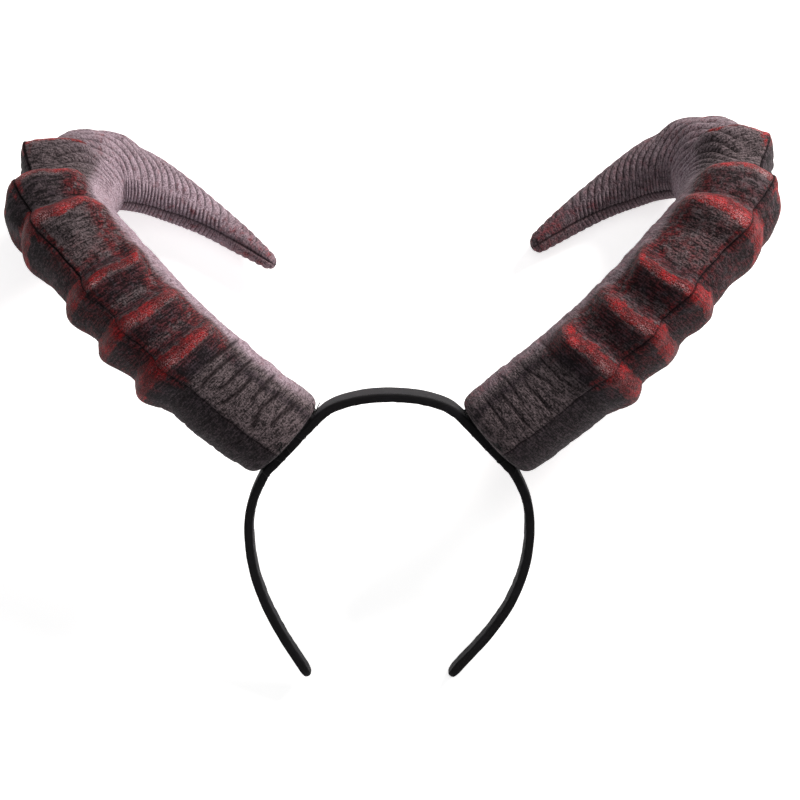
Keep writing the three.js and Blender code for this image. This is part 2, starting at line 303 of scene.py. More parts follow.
def colour(hex_code):
    """An sRGB hex value as linear red, green, blue and alpha."""
    parts = [int(hex_code[k : k + 2], 16) / 255 for k in (1, 3, 5)]
    linear = [c / 12.92 if c <= 0.04045 else ((c + 0.055) / 1.055) ** 2.4 for c in parts]
    return (*linear, 1.0)


def add_node(tree, kind, settings=None, **inputs):
    """A node with its settings, and its sockets given values or linked to other nodes' outputs."""
    node = tree.nodes.new(kind)
    for key, value in (settings or {}).items():
        setattr(node, key, value)
    for key, value in inputs.items():
        socket = node.inputs[int(key[1:]) if key[1:].isdigit() else key.replace("_", " ")]
        if isinstance(value, bpy.types.NodeSocket):
            tree.links.new(value, socket)
        else:
            socket.default_value = value
    return node


def new_material(name):
    material = bpy.data.materials.new(name)
    material.use_nodes = True
    tree = material.node_tree
    tree.nodes.clear()
    return material, tree


def finish_material(tree, **settings):
    shader = add_node(tree, "ShaderNodeBsdfPrincipled", **settings)
    add_node(tree, "ShaderNodeOutputMaterial", Surface=shader.outputs[0])


def mixed(tree, share, a, b, blend="MIX"):
    node = add_node(
        tree,
        "ShaderNodeMix",
        {"data_type": "RGBA", "blend_type": blend, "clamp_factor": True},
        _0=share,
        _6=a,
        _7=b,
    )
    return node.outputs[2]


def maths(tree, operation, a, b=0.0, clamp=False):
    node = add_node(tree, "ShaderNodeMath", {"operation": operation, "use_clamp": clamp}, _0=a, _1=b)
    return node.outputs[0]


def ranged(tree, value, low, high, to_low=0.0, to_high=1.0):
    node = add_node(
        tree,
        "ShaderNodeMapRange",
        {"interpolation_type": "SMOOTHSTEP"},
        Value=value,
        From_Min=low,
        From_Max=high,
        To_Min=to_low,
        To_Max=to_high,
    )
    return node.outputs[0]


def horn_skin_material():
    """Brushed polyester over foam, pressed hot into shape, airbrushed black and dry-brushed with
    red and dusty mauve: a dull napped skin whose raised places catch the brush. Painted light and
    shade are mixed in: pale pink glints are painted highlights, the mauve is stronger where the key
    light falls, and the dark and dark red layers darken the horn turned from the light."""
    material, tree = new_material("pressed_napped_cloth")
    chart = add_node(tree, "ShaderNodeUVMap", {"uv_map": "cloth_map"}).outputs[0]
    place = add_node(tree, "ShaderNodeTexCoord").outputs["Object"]
    value = {
        key: add_node(tree, "ShaderNodeAttribute", {"attribute_name": key}).outputs["Fac"]
        for key in PAINTS
    }

    def noise(where, scale, detail, roughness=0.6, distortion=0.0):
        node = add_node(
            tree,
            "ShaderNodeTexNoise",
            _0=where,
            Scale=scale,
            Detail=detail,
            Roughness=roughness,
            Distortion=distortion,
        )
        return node.outputs[0]

    # brush strokes lie across the horn, 0.8 mm wide and about 5 mm long
    strokes_map = add_node(tree, "ShaderNodeMapping", _0=chart, _3=(19.0, 125.0, 1.0))
    strokes = noise(strokes_map.outputs[0], 1.0, 3.0, 0.65, 0.1)
    # the pressed grain's pebbles are 0.9 mm and the nap's specks 0.5 mm
    pebbles = noise(place, 1150.0, 2.0, 0.55)
    specks = noise(place, 2000.0, 2.0, 0.7)
    # uneven hand painting, in patches about 9 mm and 3 mm wide
    patches = noise(place, 110.0, 3.0)
    spots = noise(place, 330.0, 3.0, 0.65)

    grained = maths(tree, "MULTIPLY", pebbles, 0.42)
    grained = maths(tree, "ADD", grained, maths(tree, "MULTIPLY", strokes, 0.58))
    worked = maths(tree, "MULTIPLY", ranged(tree, grained, 0.4, 0.62), value["grain"])
    ground = mixed(tree, worked, colour("#1b1617"), colour("#6b5e61"))
    rub = maths(tree, "MULTIPLY", ranged(tree, specks, 0.55, 0.75), value["grain"])
    ground = mixed(tree, maths(tree, "MULTIPLY", rub, 0.6), ground, colour("#83777b"))
    # black airbrush beside the ridges, and painted shade where the dark value also carries it: the right horn's curl
    # and the dark turn to the inner side near the foot
    dark = mixed(tree, ranged(tree, grained, 0.46, 0.62), colour("#1a1518"), colour("#463a41"))
    edge = maths(tree, "ADD", value["dark_paint_and_shade"], maths(tree, "SUBTRACT", spots, 0.5))
    ground = mixed(tree, ranged(tree, edge, 0.15, 0.95), ground, dark)
    # dark red stain, and painted shade where the haze value carries it on the right horn's inner side and curl
    stain = mixed(tree, ranged(tree, grained, 0.42, 0.62), colour("#230f11"), colour("#70292d"))
    haze_and_shade = maths(tree, "ADD", value["haze_and_painted_shade"], maths(tree, "SUBTRACT", patches, 0.55))
    haze_and_shade = maths(tree, "MULTIPLY", ranged(tree, haze_and_shade, 0.05, 0.75), ranged(tree, spots, 0.3, 0.6))
    ground = mixed(tree, haze_and_shade, ground, stain)
    # mauve dry-brush with painted light: a paler mauve and near-white specks where the key light falls
    lit_mauve = mixed(tree, ranged(tree, grained, 0.35, 0.6), colour("#5e4a53"), colour("#a4919b"))
    lit_mauve = mixed(tree, ranged(tree, specks, 0.5, 0.72, 0.0, 0.7), lit_mauve, colour("#c8b8c3"))
    lit_mauve = mixed(tree, ranged(tree, spots, 0.52, 0.72, 0.0, 0.5), lit_mauve, colour("#74434a"))
    ground = mixed(tree, value["mauve_and_painted_light"], ground, lit_mauve)
    red = mixed(tree, ranged(tree, patches, 0.42, 0.6), colour("#6c1f22"), colour("#9e181c"))
    red = mixed(tree, ranged(tree, grained, 0.43, 0.6, 0.8, 0.05), red, colour("#250c0e"))
    # painted highlights: pale pink glints speckled over the red
    red = mixed(tree, ranged(tree, specks, 0.53, 0.7, 0.0, 0.55), red, colour("#a86a6e"))
    fray = maths(tree, "MULTIPLY", maths(tree, "SUBTRACT", spots, 0.5), 2.1)
    fray = maths(tree, "ADD", fray, maths(tree, "SUBTRACT", patches, 0.5))
    red_share = ranged(tree, maths(tree, "ADD", value["red_paint"], fray), 0.1, 0.55)
    red_share = maths(tree, "MULTIPLY", red_share, ranged(tree, value["red_paint"], 0.02, 0.3))
    ground = mixed(tree, red_share, ground, red)
    # painted highlights: pale pink-white glints
    highlight = maths(tree, "MULTIPLY", value["painted_highlight"], ranged(tree, specks, 0.45, 0.66))
    ground = mixed(tree, highlight, ground, colour("#cfa2a4"))
    ground = mixed(tree, value["groove"], ground, colour("#150d0f"))

    relief = maths(tree, "ADD", pebbles, maths(tree, "MULTIPLY", specks, 0.4))
    relief = maths(tree, "ADD", relief, maths(tree, "MULTIPLY", strokes, 0.5))
    bump = add_node(tree, "ShaderNodeBump", Strength=1.0, Distance=0.0007, Height=relief)
    gloss = ranged(tree, red_share, 0.0, 1.0, 0.72, 0.58)
    finish_material(
        tree,
        Base_Color=ground,
        Roughness=gloss,
        Specular_IOR_Level=0.1,
        Sheen_Weight=0.02,
        Sheen_Roughness=0.4,
        Sheen_Tint=colour("#e2cfdc"),
        Normal=bump.outputs[0],
    )
    return material


def band_material():
    """Black polyester ribbon glued round a plastic hoop: matt, with a faint violet sheen."""
    material, tree = new_material("black_ribbon_cover")
    chart = add_node(tree, "ShaderNodeUVMap", {"uv_map": "cloth_map"}).outputs[0]
    weave_map = add_node(tree, "ShaderNodeMapping", _0=chart, _3=(100.0, 100.0, 1.0))
    # threads 0.5 mm apart, coarser than the real 0.2 mm so that they show
    across = add_node(
        tree,
        "ShaderNodeTexWave",
        {"bands_direction": "X"},
        _0=weave_map.outputs[0],
        Scale=1.0,
        Distortion=0.6,
    ).outputs["Fac"]
    along = add_node(
        tree,
        "ShaderNodeTexWave",
        {"bands_direction": "Y"},
        _0=weave_map.outputs[0],
        Scale=1.0,
        Distortion=0.6,
    ).outputs["Fac"]
    weave = maths(tree, "MULTIPLY", across, along)
    place = add_node(tree, "ShaderNodeTexCoord").outputs["Object"]
    wear = add_node(tree, "ShaderNodeTexNoise", _0=place, Scale=140.0, Detail=3.0).outputs[0]
    shade = mixed(tree, weave, colour("#0b0a0c"), colour("#151317"))
    shade = mixed(tree, ranged(tree, wear, 0.5, 0.75, 0.0, 0.5), shade, colour("#1c1a20"))
    bump = add_node(tree, "ShaderNodeBump", Strength=0.5, Distance=0.0002, Height=weave)
    finish_material(
        tree,
        Base_Color=shade,
        Roughness=0.75,
        Specular_IOR_Level=0.18,
        Sheen_Weight=0.03,
        Sheen_Roughness=0.4,
        Sheen_Tint=colour("#cfc6dc"),
        Normal=bump.outputs[0],
    )
    return material


def felt_material():
    """Black craft felt: pressed fibres, no gloss at all."""
    material, tree = new_material("black_felt")
    place = add_node(tree, "ShaderNodeTexCoord").outputs["Object"]
    fibres = add_node(
        tree, "ShaderNodeTexNoise", _0=place, Scale=1900.0, Detail=3.0, Distortion=1.5
    ).outputs[0]
    shade = mixed(tree, ranged(tree, fibres, 0.45, 0.75), colour("#0c0b0c"), colour("#262427"))
    bump = add_node(tree, "ShaderNodeBump", Strength=0.9, Distance=0.0003, Height=fibres)
    finish_material(
        tree, Base_Color=shade, Roughness=0.95, Specular_IOR_Level=0.2, Normal=bump.outputs[0]
    )
    return material


def thread_material():
    """Black waxed sewing thread, twisted: a slight gloss on each ply."""
    material, tree = new_material("black_sewing_thread")
    place = add_node(tree, "ShaderNodeTexCoord").outputs["Object"]
    plies = add_node(
        tree, "ShaderNodeTexNoise", _0=place, Scale=2600.0, Detail=1.0, Distortion=0.5
    ).outputs[0]
    shade = mixed(tree, plies, colour("#050505"), colour("#131214"))
    bump = add_node(tree, "ShaderNodeBump", Strength=0.6, Distance=0.0001, Height=plies)
    finish_material(tree, Base_Color=shade, Roughness=0.7, Specular_IOR_Level=0.3, Normal=bump.outputs[0])
    return material


def floor_material():
    """Matt white paper sweep."""
    material, tree = new_material("white_paper")
    place = add_node(tree, "ShaderNodeTexCoord").outputs["Object"]
    tooth = add_node(tree, "ShaderNodeTexNoise", _0=place, Scale=300.0, Detail=2.0).outputs[0]
    shade = mixed(tree, tooth, colour("#f6f6f6"), colour("#fbfbfb"))
    finish_material(tree, Base_Color=shade, Roughness=0.9, Emission_Color=(1, 1, 1, 1), Emission_Strength=0.66)
    return material


# ---- horns


def seat_of(side):
    """A seat's outward and along directions, its middle on the band and the horn's foot."""
    angle = math.radians(SEAT_ANGLE)
    outward = np.array([side * math.sin(angle), 0.0, math.cos(angle)])
    crownward = np.array([-side * math.cos(angle), 0.0, math.sin(angle)])
    middle = np.array([side * SEAT_OUT * BOW_HALF_WIDTH, 0.0, SEAT_UP * CROWN_HEIGHT])
    foot = middle + outward * (BAND_WALL / 2 + 2 * GAP + PAD_THICKNESS)
    return outward, crownward, middle, foot


class Horn:
    """A horn's centre line and sections, in the worn frame."""

    def __init__(self, side, turns, mauve_and_light, stained, stain, creased, under, cut):
        self.mauve_and_light = mauve_and_light
        self.stained = stained
        self.stain = stain
        self.creased = creased
        self.under = under
        outward, crownward, _, foot = seat_of(side)
        self.axes = np.stack([crownward, np.array([0.0, 1.0, 0.0]), outward])
        self.foot = foot
        rows = {key: np.array(col) for key, col in zip(HORN_COLUMNS, zip(*HORN_ROWS))}
        points = np.stack(
            [rows["rise"] * HORN_RISE, rows["sweep"] * HORN_SWEEP, rows["reach"] * HORN_REACH], 1
        )
        turn = (
            Matrix.Rotation(math.radians(turns[0]), 3, "X")
            @ Matrix.Rotation(math.radians(turns[1]), 3, "Y")
            @ Matrix.Rotation(math.radians(turns[2]), 3, "Z")
        )
        line = through(points @ np.array(turn).T, 60)
        self.run = np.concatenate([[0], np.cumsum(np.linalg.norm(np.diff(line, axis=0), axis=1))])
        self.length = self.run[-1]
        self.end = self.length - cut
        self.line = line
        self.along = unit(np.gradient(line, self.run, axis=0))
        knots = np.linspace(0, 1, len(HORN_ROWS))
        share = np.linspace(0, 1, len(line))
        soft = np.hanning(41)
        self.columns = {}
        for key in ("width", "depth", "turn"):
            plain = np.interp(share, knots, rows[key].astype(float))
            wide = np.pad(plain, 20, mode="reflect", reflect_type="odd")
            self.columns[key] = np.convolve(wide, soft / soft.sum(), "valid")

    def at(self, distance):
        def read(column):
            return np.interp(distance, self.run, column)

        centre = np.stack([read(self.line[:, k]) for k in range(3)], -1)
        along = np.stack([read(self.along[:, k]) for k in range(3)], -1)
        bend = smooth(distance / FOOT_LEVEL)[..., None]
        along = unit(along * bend + np.array([0.0, 0.0, 1.0]) * (1 - bend))
        side = np.array([1.0, 0.0, 0.0]) - along * along[..., :1]
        side = unit(side)
        front = np.cross(side, along)
        turn = np.radians(read(self.columns["turn"]))[..., None]
        return {
            "centre": centre,
            "along": along,
            "out": front * np.cos(turn) - side * np.sin(turn),
            "over": side * np.cos(turn) + front * np.sin(turn),
            "half_width": read(self.columns["width"]) * HORN_WIDTH / 2,
            "half_depth": read(self.columns["depth"]) * HORN_DEPTH / 2,
        }

    def worn(self, points):
        return self.foot + points @ self.axes


def ridge_relief(horn, distance, angle, over, seed):
    """The ring ridges at each point: their height, the fold and lip of the seam on their crests,
    how red the brush left them, how dark the slopes beside them are, and the painted highlights on
    their crests."""
    made = {key: np.zeros_like(distance) for key in ("height", "fold", "lip", "red", "dark", "highlight")}
    upper = over > 0
    end = 0.85 if upper else 1.0
    fade = 1 - smooth((angle - end) / 0.8)
    for number, values in enumerate(RIDGE_ROWS):
        row = dict(zip(RIDGE_COLUMNS, values))
        own = np.full_like(angle, number * 3.7)
        wander = 1.5 * lumps(angle * 2.4, own, seed) * smooth(angle / 0.4)
        flick = row["flick"] * smooth((angle - 0.9) / 0.35) * upper
        lean = (row["lean"] - (0.0 if upper else UNDER_LEAN)) * np.minimum(angle, 1.6)
        past = distance - row["at"] * horn.length - wander - lean - flick
        slope = np.where(past < 0, smooth(1 + past / RIDGE_RUN), smooth(1 - past / RIDGE_DROP))
        uneven = 1 + 0.16 * lumps(angle * 3.1, own + 1.4, seed + 5)
        knob = 0.18 * bump_at(angle - end - 0.12, 0.2) * bump_at(past, 4.0) * upper
        notch = 1 - 0.3 * bump_at(angle, 0.11)
        arch = 0.2 * bump_at(angle - 0.6, 0.3) * upper * (row["at"] > 0.4) * (row["at"] < 0.6)
        height = row["height"] * (slope**0.85 * uneven * fade * (notch + arch) + knob)
        valley = 0.13 * row["height"] * bump_at(past - RIDGE_DROP - 1.5, 3.5) * fade
        under = 1.0 if upper else 1 - (1 - row["under"] * horn.under) * smooth(angle / 0.35)
        made["height"] = np.maximum(made["height"], height * under) - valley
        made["fold"] = np.maximum(made["fold"], row["fold"] * slope**1.5)
        made["lip"] = np.maximum(made["lip"], row["lip"] * slope**2)
        reach = 0.96 + 0.2 * lumps(own, own * 1.3, seed + 7) + (0.0 if upper else 0.55)
        brushed = 1 - smooth((angle - reach) / 0.3)
        half = row["band"] / 2 + (0.0 if upper else 1.6)
        middle = 1.1 if upper else 1.8
        crest = 1 - smooth((np.abs(past - middle) - half + 1.5) / 3.0)
        fading = 1 - 0.3 * smooth((angle - 0.5) / 0.5) * upper
        strong = row["red"] if upper else min(1.0, 1.3 * row["red"])
        made["red"] = np.maximum(made["red"], strong * crest * brushed * fading)
        before = smooth((past + 15.0) / 7.0) * (1 - smooth((past - middle + half + 2.0) / 2.0))
        after = smooth((past - middle - half) / 2.0) * (1 - smooth((past - half - 4.5) / 5.0))
        dark = row["dark"] * (before + 0.8 * after) * brushed
        made["dark"] = np.maximum(made["dark"], dark)
        # painted highlight: a pale pink glint on the crest by the outer seam and along it
        shine = bump_at(angle - 0.18, 0.12) + 0.3 * bump_at(angle - 0.7, 0.5)
        shine = shine * bump_at(past + 0.5, half * 0.7) * row["red"] * upper
        made["highlight"] = np.maximum(made["highlight"], 0.8 * shine)
    return made


def rib_relief(horn, distance, angle, girth, seed):
    """Fine slanting ribs of the curl: 0 in the groove between two ribs, 1 on a rib, and how deep
    the grooves are cut."""
    share = distance / horn.length
    # a rib leans towards the tip over the outer side and stands square beside the inner seam
    lean = angle - 0.9 * np.maximum(angle - 1.3, 0) ** 2 / 3.7
    radius = girth / np.maximum(angle, 0.01)
    slanted = distance - lean * radius + 0.8 * lumps(distance / 14, angle * 1.6, seed + 9)
    swing = 0.5 * lumps(girth / 9, distance / 30, seed)
    fine = np.abs(np.sin(math.pi * slanted / 2.9)) ** 0.7
    coarse = np.abs(np.sin(math.pi * slanted / 5.4 + swing)) ** 0.6
    hook = smooth((share - 0.64) / 0.05) * (1 - smooth((share - 0.88) / 0.05))
    bend = smooth((share - 0.52) / 0.04) * smooth((angle - 0.35) / 0.3)
    bend = bend * (1 - smooth((angle - 1.75) / 0.4)) * (1 - hook)
    calm = 1 - 0.4 * bump_at(angle - 2.2, 0.2)
    inner = smooth((angle - 2.0) / 0.4) * hook
    wave = fine * inner + coarse * (1 - inner)
    return wave, np.clip(np.maximum(hook * calm, 0.9 * bend), 0, 1)


def crease_relief(distance, angle, seed):
    crease = np.zeros_like(distance)
    for number, (place, first, last) in enumerate(FOOT_CREASES):
        bent = place + 2.0 * lumps(angle * 1.7 + number, np.full_like(angle, number * 1.9), seed + 3)
        there = smooth((angle - first) / 0.15) * (1 - smooth((angle - last) / 0.25))
        crease = np.maximum(crease, bump_at(distance - bent, 0.8) * there)
    return crease


def horn_half(horn, over, seed, name, node):
    """One pressed half of a horn: outer skin from seam to seam, its cut edges and its inside."""
    rows = 700
    skin_columns = 108
    inside_columns = 11
    columns = skin_columns + inside_columns + 1
    share = np.linspace(0, 1, skin_columns)
    skin_angles = math.pi * (share - 0.5 * np.sin(2 * math.pi * share) / (2 * math.pi))
    inside_angles = np.linspace(math.pi, 0, inside_columns)
    angles = np.concatenate([skin_angles, inside_angles, skin_angles[:1]])
    outer = np.array([True] * skin_columns + [False] * inside_columns + [True])
    distances = horn.end * np.linspace(0, 1, rows)
    upper = over > 0

    def shape(row, column):
        distance, angle, outside = distances[row], angles[column], outer[column]
        at = horn.at(distance)
        a, b = at["half_depth"], at["half_width"]
        taper = a / (HORN_DEPTH / 2)
        girth = angle * (a + b) / 2
        along = distance / horn.length
        from_outer = angle * a
        from_inner = (math.pi - angle) * a
        calm = smooth(distance / 8.0)
        rolled = 1 - np.clip(distance / FOOT_ROUND, 0, 1)
        turn_in = FOOT_ROUND * (1 - np.sqrt(1 - rolled**2))
        blunt = 1 - np.clip((horn.end - distance) / 4.0, 0, 1)
        blunted = np.sqrt(1 - 0.9 * blunt**2)

        ridge = ridge_relief(horn, distance, angle, over, seed)
        wave, ribbed = rib_relief(horn, distance, angle, girth, seed)
        crease = crease_relief(distance, angle, seed) * horn.creased * (1.0 if upper else 0.45)
        shank = 1 - smooth((along - 0.45) / 0.12)

        seam_crest = SEAM_CREST * (taper + ridge["fold"]) * np.exp(-angle / CREST_SPREAD)
        lip = (1.1 if upper else 1.5) * ridge["lip"] * np.exp(-from_outer / 1.7)
        pinched = smooth((along - 0.32) / 0.06)
        seam = -(0.5 + 0.6 * pinched) * bump_at(from_outer, 0.5) - 0.9 * bump_at(from_inner, 0.9) * taper**0.3
        trough = -1.3 * bump_at(from_inner, 4.0) * smooth((along - 0.62) / 0.12) * taper**0.5
        ribs = 1.5 * (wave - 0.8) * ribbed * taper**0.4
        fine = 0.22 * rough(distance / 1.7, girth / 11.0, seed + 20)
        fine += 0.26 * rough(distance / 4.5, girth / 8.0, seed + 30)
        fine += 0.13 * lumps(distance / 1.1, girth / 1.5, seed + 60)
        fine = fine * (1.0 if upper else 0.6) * (1 - 0.8 * ribbed) * (1 - 0.6 * ridge["dark"]) * calm
        big = 0.6 * rough(distance / 24.0, girth / 22.0, seed + 50) * smooth(distance / 20)
        swell = 0.35 * lumps(distance / 5.5, girth / 30.0, seed + 70) * shank * calm
        raised = RIDGE_HEIGHT * ridge["height"] + seam_crest + lip + seam + trough + big * taper
        raised = raised + ribs + (fine + swell - 0.9 * crease * calm) * (0.4 + 0.6 * taper)
        raised = np.where(outside, raised, 0.0) - turn_in

        normal = unit(np.stack([np.cos(angle) / a, np.sin(angle) / b], -1))
        deep_in = np.maximum(a - SKIN - turn_in, 0.35 * a) * blunted
        wide_in = np.maximum(b - SKIN - turn_in, 0.35 * b) * blunted
        skin_x = (a * np.cos(angle) + raised * normal[:, 0]) * blunted
        skin_y = (b * np.sin(angle) + raised * normal[:, 1]) * blunted
        x = np.where(outside, skin_x, deep_in * np.cos(angle))
        y = np.maximum(np.where(outside, skin_y, wide_in * np.sin(angle)), 0) + SEAM_GAP / 2
        slant = math.tan(math.radians(RIDGE_SLANT)) * smooth(distance / SLANT_START)
        local = (
            at["centre"]
            + at["out"] * x[:, None]
            + at["over"] * (over * y)[:, None]
            - at["along"] * (over * y * slant)[:, None]
        )
        # the convex seam wanders a little, and both halves with it
        stray = 0.7 * rough(distance / 10.0, distance * 0, 5) * np.exp(-angle / 0.35) * calm
        local = local + at["over"] * stray[:, None]

        hook = smooth((along - 0.55) / 0.14)
        tip = smooth((along - 0.84) / 0.12)
        border = angle + 0.12 * lumps(distance / 11, girth / 60, seed + 80)
        inside = smooth((border - 1.2) / 0.35)
        # mauve dry-brush on the inner side and the curl, with painted light and shade: full on the left horn facing the
        # key light, weaker on the right horn in shade, darker on its curl and lighter at its bend, and paler on the
        # lower side of the curl
        mauve_and_light = np.maximum(inside * (1 - 0.1 * shank), 0.85 * hook) * horn.mauve_and_light * (1 - 0.5 * tip)
        mauve_and_light = mauve_and_light * (1 - 0.5 * (1 - horn.mauve_and_light) * smooth((along - 0.68) / 0.06))
        mauve_and_light = mauve_and_light * (1 + 0.9 * (1 - horn.mauve_and_light) * bump_at(along - 0.6, 0.07))
        mauve_and_light = mauve_and_light * (1.0 if upper else 0.75 + 0.4 * hook) * (0.35 + 0.65 * smooth(distance / 18))
        near_seam = bump_at(from_outer - 1.6, 1.5)
        haze_and_shade = bump_at(border - 1.1, 0.3) * shank * smooth((distance - 35) / 20)
        haze_and_shade = np.maximum(haze_and_shade, 0.8 * tip)
        edged = smooth((along - 0.14) / 0.03) * (1 - smooth((along - 0.44) / 0.04))
        haze_and_shade = np.maximum(haze_and_shade, 0.85 * near_seam * edged)
        flecked = 0.17 * bump_at(from_inner - 4.5, 3.5) * smooth((along - 0.7) / 0.08)
        flecked = np.maximum(flecked, 0.1 * hook * bump_at(angle - 1.0, 0.5) * (1 - tip)) * horn.mauve_and_light**0.5
        # painted shade: the right horn's curl, turned from the key light, is darkened
        painted_shade = 1.3 * (1 - horn.mauve_and_light) * smooth((along - 0.8) / 0.1) * bump_at(angle - 2.2, 0.9)
        stained = smooth((along - 0.15) / 0.04) * (1 - smooth((along - horn.stained) / 0.06))
        haze_and_shade = np.maximum(haze_and_shade, horn.stain * stained * (1 - smooth((angle - 1.5) / 0.3)))
        # painted shade: a darker, redder haze on the right horn's inner side and curl, which face away from the key
        # light
        haze_and_shade = np.maximum(haze_and_shade, (1 - horn.mauve_and_light) * inside * shank)
        haze_and_shade = np.maximum(haze_and_shade, 0.6 * (1 - horn.mauve_and_light) * hook)
        deep = 0.4 + 0.5 * pinched
        groove = np.maximum(deep * bump_at(from_outer, 0.4), 0.75 * bump_at(from_inner, 0.9))
        groove = np.maximum(groove, 0.85 * ribbed * (1 - smooth((wave - 0.1) / 0.65)))
        groove = np.maximum(groove, 0.9 * crease * calm)
        groove = np.maximum(groove, 0.3 * bump_at(from_inner, 3.0) * smooth((along - 0.7) / 0.1))
        shaded = 0.75 * bump_at(border - 1.02, 0.17) * (1 - smooth((distance - 42) / 18)) * upper
        painted_shade = np.maximum(painted_shade, shaded)
        # painted highlight: the ridge glints, and on the lower side of the curl a paler strip where light falls,
        # strongest on the left horn
        highlight = np.maximum(ridge["highlight"], 0.0 if upper else 0.35 * hook * horn.mauve_and_light)
        values = {
            "red_paint": np.clip(np.maximum(ridge["red"] + 0.3 * near_seam * ridge["lip"], flecked), 0, 1),
            "dark_paint_and_shade": np.maximum(painted_shade, ridge["dark"] if upper else np.maximum(ridge["dark"], 0.65 * (1 - hook))),
            "mauve_and_painted_light": np.clip(mauve_and_light, 0, 1),
            "haze_and_painted_shade": np.clip(haze_and_shade, 0, 1),
            "painted_highlight": np.clip(highlight, 0, 1),
            "groove": np.where(outside | (along > 0.9), groove, 1.0),
            "grain": (1.0 if upper else 0.5) * (1 - 0.7 * ridge["red"]) * np.ones_like(distance),
        }
        # the soft rim sinks round the pad, nearly to the band
        local[:, 2] -= FOOT_SINK * (1 - smooth(distance / 7.0)) * outside
        return horn.worn(local), np.stack([girth, distance], -1), values

    mesh = closed(grid_mesh(name, rows, columns, shape))
    return piece(name, mesh, skin_material, "horn_skin", node)


# ---- hair band


def band_line():
    """The band's centre line, as in the solids, from its left end over the crown to the right."""
    points = []
    for side, column in ((-1, 1), (1, 2)):
        outward, crownward, middle, _ = seat_of(side)
        arm = [np.array([side * row[column] * BOW_HALF_WIDTH, 0, row[0] * ARM_DROP]) for row in ARM_ROWS]
        seat = [middle + crownward * SEAT_HALF * step for step in (-1, -0.7, -0.3, 0, 0.3, 0.7, 1)]
        arch = [np.array([side * out, 0.0, CROWN_HEIGHT - drop]) for out, drop in ARCH_ROWS]
        if side < 0:
            points += arm + seat + arch + [np.array([0.0, 0.0, CROWN_HEIGHT])]
        else:
            points += arch[::-1] + seat[::-1] + arm[::-1]
    return through(points, 24)


def hair_band():
    line = band_line()
    run = np.concatenate([[0], np.cumsum(np.linalg.norm(np.diff(line, axis=0), axis=1))])
    length = run[-1]
    direction = unit(np.gradient(line, run, axis=0))
    rows = 420
    columns = 49
    distances = np.linspace(0, length, rows)
    turns = np.linspace(0, 2 * math.pi, columns)

    def shape(row, column):
        distance, turn = distances[row], turns[column]
        centre = np.stack([np.interp(distance, run, line[:, k]) for k in range(3)], -1)
        along = unit(np.stack([np.interp(distance, run, direction[:, k]) for k in range(3)], -1))
        outward = np.stack([-along[:, 2], along[:, 1] * 0, along[:, 0]], -1)
        from_end = np.minimum(distance, length - distance)
        past = 1 - np.clip(from_end / END_ROUND, 0, 1)
        rounded = END_TIP + (1 - END_TIP) * np.sqrt(1 - past**2)
        width = END_WIDTH + (CROWN_WIDTH - END_WIDTH) * smooth(2 * from_end / length)
        w, h = width / 2 * rounded, BAND_WALL / 2 * rounded
        power = 0.2
        x = w * np.sign(np.cos(turn)) * np.abs(np.cos(turn)) ** power
        y = h * np.sign(np.sin(turn)) * np.abs(np.sin(turn)) ** (power * 1.5)
        lift = 0.12 * rough(distance / 5.0, turn * 1.3, 71) + 0.16 * lumps(distance / 2.4, turn * 2.0, 77) * (y < 0)
        lap = 0.35 * smooth((x / w + 0.1) / 0.06) * (y < -0.5 * h)
        grow = 1 + (lift - 0.1) / h
        places = centre + outward * (y * grow - lap * 0.6)[:, None] + np.stack([x * 0, x, x * 0], -1)
        return places, np.stack([turn / (2 * math.pi) * 2 * (width + BAND_WALL), distance], -1), {}

    mesh = closed(grid_mesh("band_ribbon", rows, columns, shape))
    return piece("band_ribbon", mesh, ribbon_material, "band_cloth", "hair_band")


# ---- foot pads, thread and knots


def foot_pad(horn, side, label):
    """Felt disc under a horn's foot, its edge a little ragged."""
    at = horn.at(np.array([0.0]))
    half_width = at["half_width"][0] - PAD_INSET
    half_depth = at["half_depth"][0] - PAD_INSET
    bm = bmesh.new()
    bmesh.ops.create_circle(bm, cap_ends=True, cap_tris=False, segments=120, radius=1.0)
    bottom = bm.faces[:]
    top = bmesh.ops.extrude_face_region(bm, geom=bottom)["geom"]
    bmesh.ops.translate(bm, verts=[v for v in top if isinstance(v, bmesh.types.BMVert)], vec=(0, 0, 1))
    rim = [e for e in bm.edges if abs(e.verts[0].co.z - e.verts[1].co.z) < 0.1]
    bmesh.ops.subdivide_edges(bm, edges=[e for e in bm.edges if e not in rim], cuts=5)
    bmesh.ops.bevel(bm, geom=rim, offset=0.06, segments=3, profile=0.5, affect="EDGES", material=-1)
    for vert in bm.verts:
        angle = math.atan2(vert.co.y, vert.co.x)
        ragged = 1 + 0.02 * math.sin(angle * 23 + 3 * vert.co.z) + 0.015 * math.sin(angle * 41 - 9 * vert.co.z)
        local = Vector((
            at["centre"][0, 0] + vert.co.x * half_width * ragged,
            at["centre"][0, 1] + vert.co.y * half_depth * ragged,
            -GAP - PAD_THICKNESS * (1 - vert.co.z),
        ))
        vert.co = Vector(laid_down(horn.worn(np.array(local))))
    bmesh.ops.recalc_face_normals(bm, faces=bm.faces)
    mesh = bpy.data.meshes.new(f"{label}_felt_pad")
    bm.to_mesh(mesh)
    bm.free()
    return piece(f"{label}_felt_pad", mesh, pad_material, "pad_felt", f"{label}_foot_pad")


